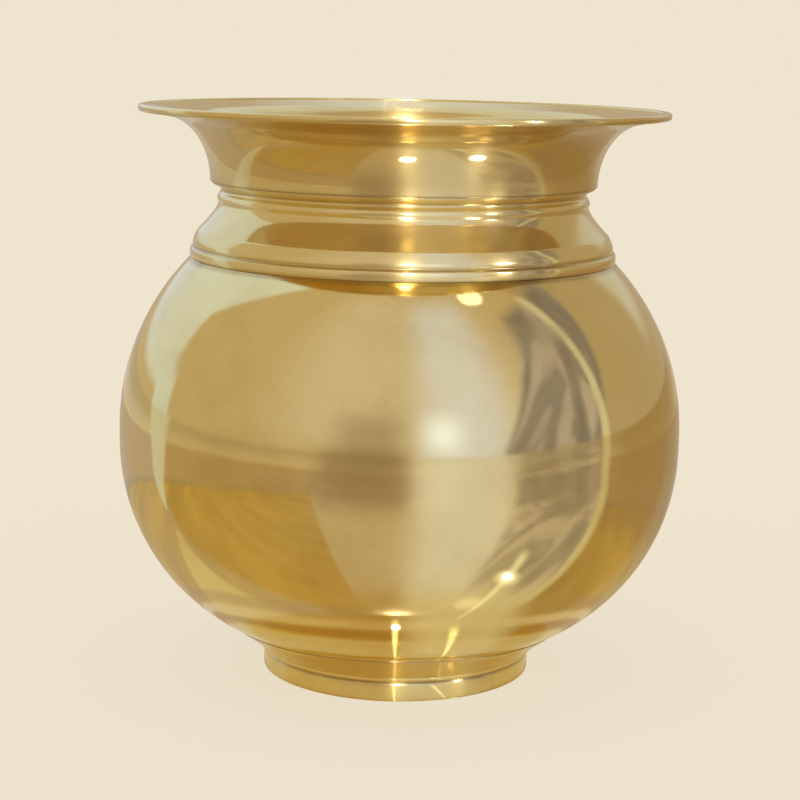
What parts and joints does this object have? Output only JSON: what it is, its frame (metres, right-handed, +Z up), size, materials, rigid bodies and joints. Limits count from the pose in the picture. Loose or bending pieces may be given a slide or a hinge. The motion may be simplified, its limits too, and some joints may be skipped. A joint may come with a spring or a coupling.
{
  "type": "lota",
  "caption": "Round-bellied metal water pot with a flared rim, a ribbed collar round its neck and a plain ring foot.",
  "frame": {"origin": "centre of the circle that the foot ring stands on", "axes": "+Z up along the axis of the pot"},
  "size_m": [0.1204, 0.1204, 0.1213],
  "materials": {
    "bowl_brass": "hand polished, bright",
    "collar_brass": "turned and polished, darker in the grooves",
    "mouth_brass": "hand polished, bright",
    "foot_brass": "turned and polished",
    "solder": "dull, as run"
  },
  "bodies": {
    "root": {"foot_ring": "foot_brass", "lower_bowl": "bowl_brass", "upper_bowl": "bowl_brass", "ribbed_collar": "collar_brass", "flared_mouth": "mouth_brass", "foot_solder": "solder", "belly_solder": "solder", "shoulder_solder": "solder", "neck_solder": "solder"}
  },
  "joints": []
}
